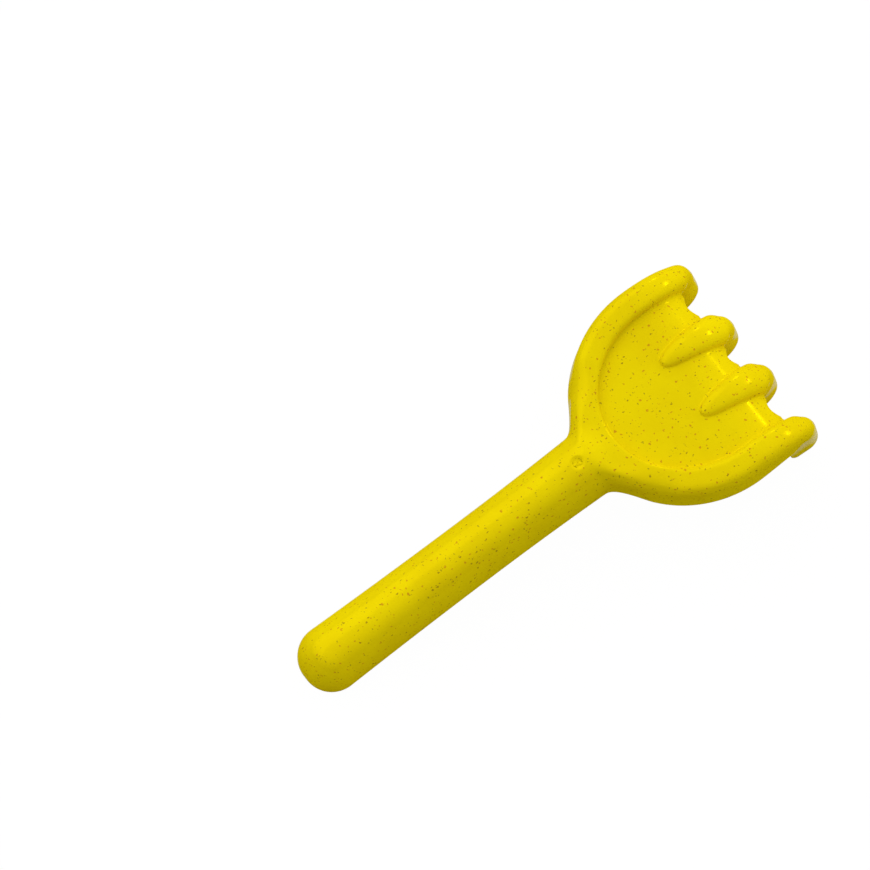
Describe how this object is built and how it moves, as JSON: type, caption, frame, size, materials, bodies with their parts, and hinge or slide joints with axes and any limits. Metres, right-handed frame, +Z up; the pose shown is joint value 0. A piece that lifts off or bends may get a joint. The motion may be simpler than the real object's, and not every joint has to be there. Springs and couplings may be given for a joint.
{
  "type": "toy sand rake",
  "caption": "Child's hand rake for sand: arched open-backed grip, round head with a raised rim round a sunk panel, and curled tines.",
  "frame": {"origin": "middle of the butt's lower edge, on the surface that the rake lies on", "axes": "+X from the butt to the tines along that surface, +Y to the left, +Z up"},
  "size_m": [0.2188, 0.0878, 0.045],
  "materials": {
    "speckled_yellow": "glossy, with fine brown, olive and orange fibre specks"
  },
  "bodies": {
    "root": {"grip": "speckled_yellow", "grip_ribs": "speckled_yellow", "neck": "speckled_yellow", "gate_stub": "speckled_yellow", "shoulder": "speckled_yellow", "rim_back": "speckled_yellow", "rim_left": "speckled_yellow", "rim_right": "speckled_yellow", "panel": "speckled_yellow", "web_left": "speckled_yellow", "web_middle": "speckled_yellow", "web_right": "speckled_yellow", "outer_tine_left": "speckled_yellow", "inner_tine_left": "speckled_yellow", "inner_tine_right": "speckled_yellow", "outer_tine_right": "speckled_yellow"}
  },
  "joints": []
}
